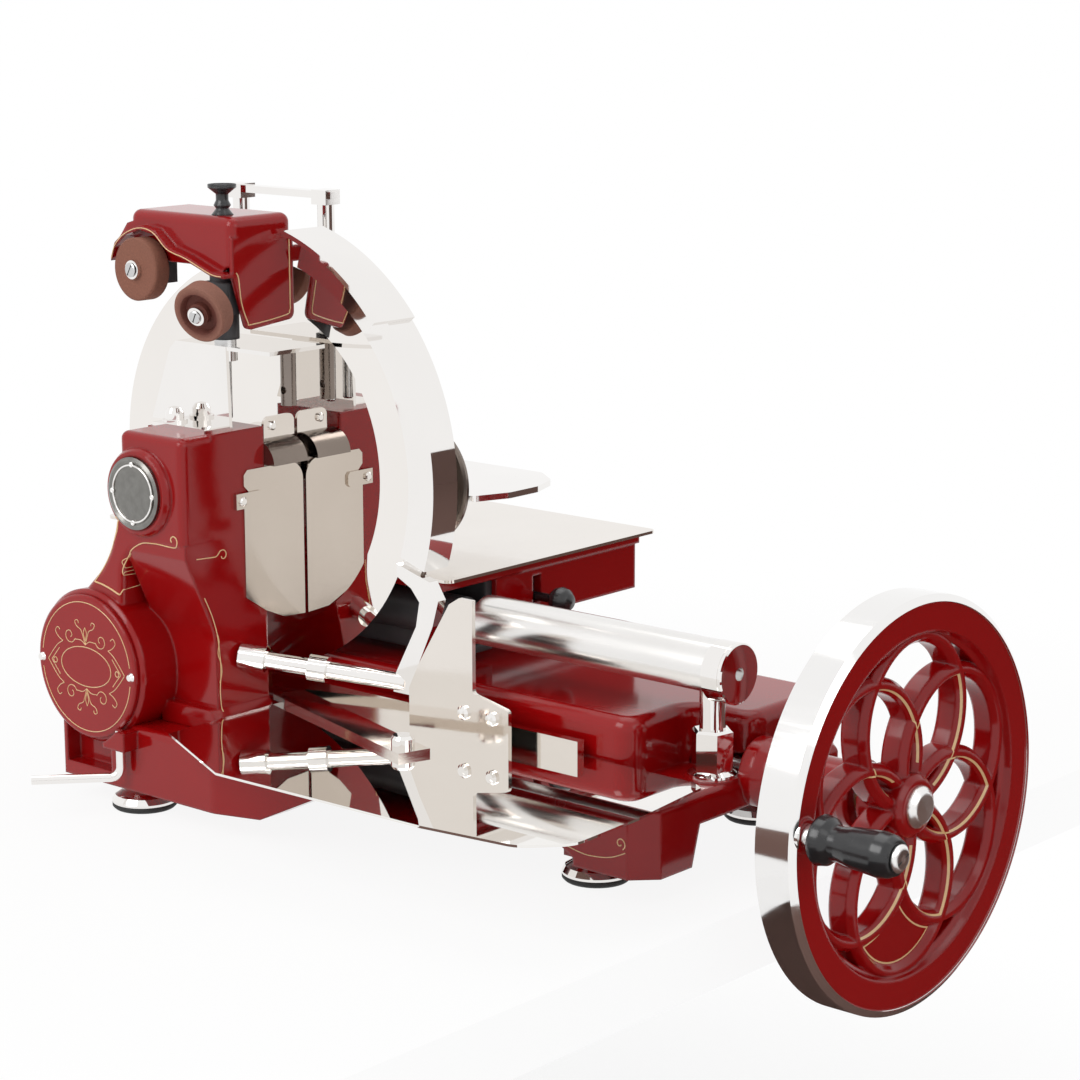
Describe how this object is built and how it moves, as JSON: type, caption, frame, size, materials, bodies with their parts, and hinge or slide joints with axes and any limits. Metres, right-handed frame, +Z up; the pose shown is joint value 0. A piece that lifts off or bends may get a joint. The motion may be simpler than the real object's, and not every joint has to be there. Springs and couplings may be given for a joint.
{
  "type": "hand crank meat slicer",
  "caption": "Flywheel meat slicer: hand-turned spoked wheel drives a round knife, with sliding meat carriage, clamp, knife guard, slice tray and parked sharpener.",
  "frame": {"origin": "centre of the underside of the foot under the front corner nearest the flywheel, on the plane the machine stands on", "axes": "+X along the main shaft towards the flywheel, +Y from the slice tray side to the meat table side, +Z up"},
  "size_m": [0.705, 0.414, 0.4659],
  "materials": {
    "red_enamel": "gloss",
    "chrome": "mirror",
    "stainless": "polished",
    "steel_bright": "satin",
    "gear_iron": "machined",
    "bronze": "satin",
    "dark_bronze": "polished",
    "black_plastic": "gloss",
    "black_rubber": "matte",
    "abrasive": "coarse"
  },
  "bodies": {
    "frame": {"base_casting": "red_enamel", "column_housing": "red_enamel", "drum_cover": "red_enamel", "frame_screws": "chrome", "arbor_cap": "chrome", "arbor_housing": "dark_bronze", "arbor_bushes": "bronze", "drive_bushes": "bronze", "foot_cups": "chrome", "foot_pads": "black_rubber", "slide_rail": "steel_bright", "rail_cover": "chrome", "rail_end_cap": "chrome", "rail_post": "chrome", "guard_ring": "chrome", "guard_top_cap": "chrome", "guard_clamp": "chrome", "guard_lower_arm": "chrome", "cross_rod_clamp": "chrome", "slice_tray": "stainless", "tray_bolt": "chrome", "tray_back_rail": "stainless", "tray_brace": "stainless", "gauge_plate": "stainless", "deflector_left": "stainless", "deflector_right": "stainless", "deflector_bracket": "stainless", "drive_chain": "steel_bright", "sharpener_stand": "chrome", "sharpener_catch": "dark_bronze"},
    "wheel": {"flywheel": "red_enamel", "hub_cap": "chrome", "main_shaft": "steel_bright", "bevel_gear": "gear_iron", "handle_pin": "chrome"},
    "grip": {"handle_grip": "black_plastic"},
    "cross_drive": {"cross_shaft": "steel_bright", "bevel_pinion": "gear_iron", "lower_sprocket": "gear_iron"},
    "blade": {"knife": "stainless", "knife_arbor": "steel_bright", "upper_sprocket": "gear_iron"},
    "carriage": {"carriage_body": "red_enamel", "carriage_sleeve": "gear_iron"},
    "nut_lever": {"feed_lever": "black_plastic"},
    "table": {"meat_table": "stainless", "clamp_frame": "chrome"},
    "feed": {"feed_knob": "black_plastic", "feed_screw": "steel_bright"},
    "clamp": {"meat_clamp": "chrome", "press_disc": "dark_bronze"},
    "spindle": {"sharpener_spindle": "steel_bright"},
    "sharpener": {"sharpener_hood": "red_enamel", "sharpener_body": "gear_iron", "lift_knob": "black_plastic", "stone_pins": "chrome"},
    "stone_one": {"grindstone": "abrasive"},
    "stone_two": {"cup_stone": "abrasive"},
    "catch": {"catch_lever": "chrome"}
  },
  "joints": [
    {"name": "flywheel_spin", "type": "hinge", "parent": "frame", "child": "wheel", "pos_m": [0.1455, 0.085, 0.0585], "axis": [1, 0, 0], "continuous": true},
    {"name": "grip_spin", "type": "hinge", "parent": "wheel", "child": "grip", "pos_m": [0.1455, -0.02657, 0.06826], "axis": [1, 0, 0], "continuous": true},
    {"name": "cross_shaft_spin", "type": "hinge", "parent": "frame", "child": "cross_drive", "pos_m": [-0.345, 0, 0.0585], "axis": [0, 1, 0], "continuous": true},
    {"name": "knife_spin", "type": "hinge", "parent": "frame", "child": "blade", "pos_m": [-0.296, 0.018, 0.216], "axis": [0, 1, 0], "continuous": true},
    {"name": "carriage_slide", "type": "slide", "parent": "frame", "child": "carriage", "axis": [1, 0, 0], "range_m": [0, 0.17]},
    {"name": "nut_lever_lift", "type": "slide", "parent": "carriage", "child": "nut_lever", "axis": [0, 0, 1], "range_m": [0, 0.01]},
    {"name": "table_feed", "type": "slide", "parent": "carriage", "child": "table", "axis": [0, 1, 0], "range_m": [0, 0.11]},
    {"name": "feed_knob_spin", "type": "hinge", "parent": "table", "child": "feed", "pos_m": [-0.2, 0.25, 0.128], "axis": [0, 1, 0], "continuous": true},
    {"name": "clamp_height", "type": "slide", "parent": "table", "child": "clamp", "axis": [0, 0, 1], "range_m": [0, 0.15]},
    {"name": "sharpener_lift", "type": "slide", "parent": "frame", "child": "spindle", "axis": [0, 0, 1], "range_m": [0, 0.012]},
    {"name": "sharpener_swing", "type": "hinge", "parent": "spindle", "child": "sharpener", "pos_m": [-0.278, -0.032, 0.3], "axis": [0, 0, 1], "range_deg": [0, 90]},
    {"name": "grindstone_spin", "type": "hinge", "parent": "sharpener", "child": "stone_one", "pos_m": [-0.332, -0.052, 0.345], "axis": [0, 1, 0], "continuous": true},
    {"name": "cup_stone_spin", "type": "hinge", "parent": "sharpener", "child": "stone_two", "pos_m": [-0.268, -0.059, 0.324], "axis": [0.1825, -0.9387, -0.2924], "continuous": true},
    {"name": "catch_lever_turn", "type": "hinge", "parent": "frame", "child": "catch", "pos_m": [-0.312, -0.1, 0.045], "axis": [0, 0, 1], "range_deg": [-15, 15]}
  ],
  "couplings": [
    {"joint": "cross_shaft_spin", "follows": "flywheel_spin", "ratio": 2},
    {"joint": "knife_spin", "follows": "flywheel_spin", "ratio": 4}
  ]
}
